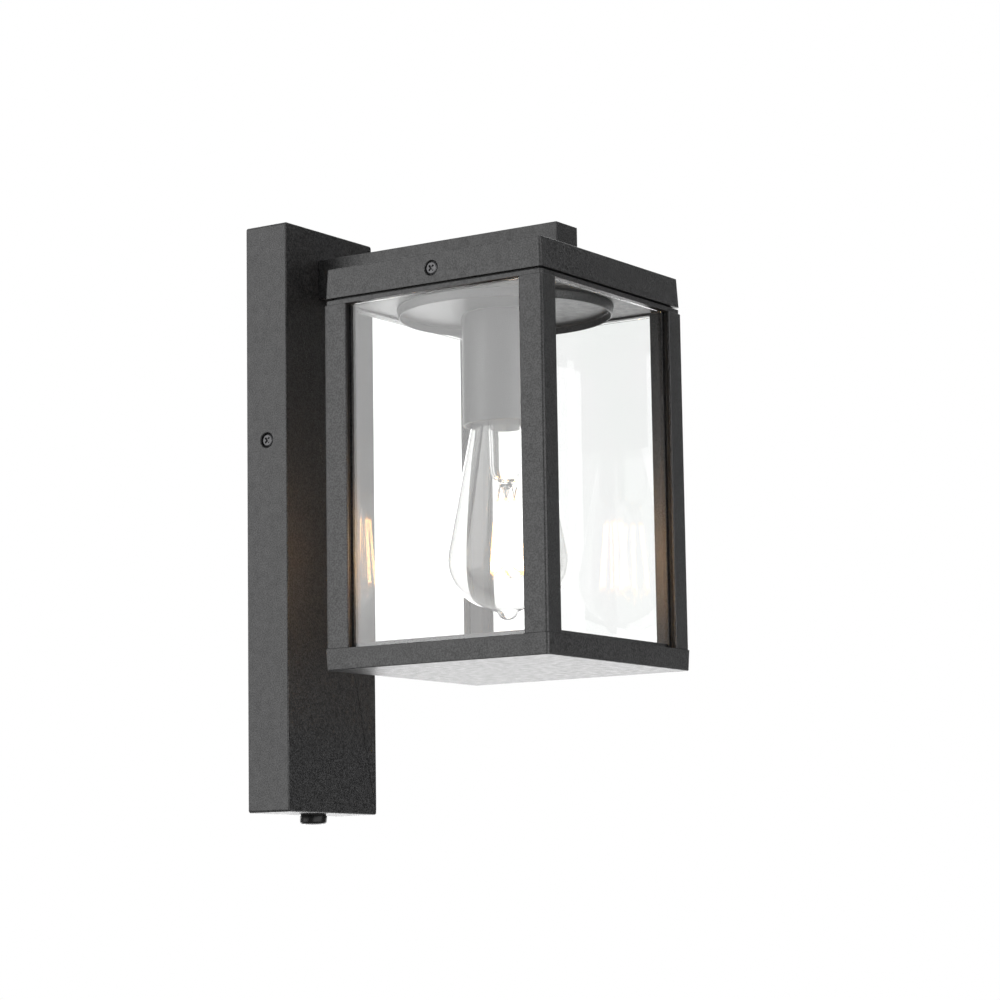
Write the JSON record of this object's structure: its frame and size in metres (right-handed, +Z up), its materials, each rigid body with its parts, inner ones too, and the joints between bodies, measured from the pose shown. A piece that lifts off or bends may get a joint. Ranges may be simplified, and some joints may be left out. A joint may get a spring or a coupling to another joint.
{
  "type": "outdoor wall lantern",
  "caption": "Black outdoor wall lantern: tall wall box, short arm and square roof carry a drop-down glazed cage around a hanging filament bulb, with a light sensor under the box.",
  "frame": {"origin": "midway between the two wall fixing holes, on the wall", "axes": "+Z up, -Y away from the wall, +X to the right as seen from the front"},
  "size_m": [0.14, 0.216, 0.3305],
  "materials": {
    "black_coat": "fine black powder coat, satin",
    "zinc_steel": "zinc plated",
    "black_screw": "blackened steel",
    "brass": "plain",
    "black_rubber": "matt",
    "white_plastic": "matt",
    "white_ceramic": "glazed",
    "black_plastic": "semi gloss",
    "clear_plastic": "clear gloss",
    "clear_glass": "clear float glass",
    "bulb_glass": "clear blown glass",
    "nickel": "nickel plated",
    "glow": "glowing phosphor",
    "brown_insulation": "smooth",
    "blue_insulation": "smooth",
    "green_insulation": "smooth",
    "red_insulation": "smooth"
  },
  "bodies": {
    "fixture": {"wall_box": "black_coat", "arm": "black_coat", "roof_cap": "black_coat", "ceiling_plate": "black_coat", "dish": "black_coat", "lamp_cup": "black_coat", "wall_bracket": "zinc_steel", "arm_screws": "zinc_steel", "roof_fixing_screws": "zinc_steel", "nipple": "zinc_steel", "nipple_nuts": "zinc_steel", "lampholder_sleeve": "zinc_steel", "box_screws": "black_screw", "roof_side_screws": "black_screw", "terminal_screws": "brass", "earth_screw": "brass", "lampholder_contact": "brass", "cable_grommet": "black_rubber", "rear_seal": "black_rubber", "sensor_seal": "black_rubber", "terminal_block": "white_plastic", "switch_module": "white_plastic", "lampholder_body": "white_ceramic", "sensor_housing": "black_plastic", "sensor_nut": "black_plastic", "sensor_lens": "clear_plastic", "supply_leads": "brown_insulation", "live_lead": "brown_insulation", "neutral_lead": "blue_insulation", "earth_lead": "green_insulation", "sensor_leads": "red_insulation"},
    "cage": {"top_rim": "black_coat", "rim_screws": "zinc_steel", "post_back_left": "black_coat", "post_back_right": "black_coat", "post_front_left": "black_coat", "post_front_right": "black_coat", "glass_back": "clear_glass", "glass_front": "clear_glass", "glass_left": "clear_glass", "glass_right": "clear_glass", "pane_seals": "black_rubber", "tray": "black_coat"},
    "bulb_tip": {"bulb_insulator": "black_plastic", "bulb_contact": "nickel"},
    "bulb": {"bulb_glass": "bulb_glass", "bulb_cap": "nickel", "bulb_stem": "bulb_glass", "bulb_rods": "glow", "bulb_wires": "zinc_steel"}
  },
  "joints": [
    {"name": "cage_drop", "type": "slide", "parent": "fixture", "child": "cage", "axis": [0, 0, -1], "range_m": [0, 0.19]},
    {"name": "bulb_back_out", "type": "slide", "parent": "fixture", "child": "bulb_tip", "axis": [0, 0, -1], "range_m": [0, 0.011]},
    {"name": "bulb_turn", "type": "hinge", "parent": "bulb_tip", "child": "bulb", "pos_m": [0, -0.146, 0], "axis": [0, 0, -1], "range_deg": [0, 1080]}
  ],
  "couplings": [
    {"joint": "bulb_back_out", "follows": "bulb_turn", "m_per_rad": 0.00057757}
  ]
}
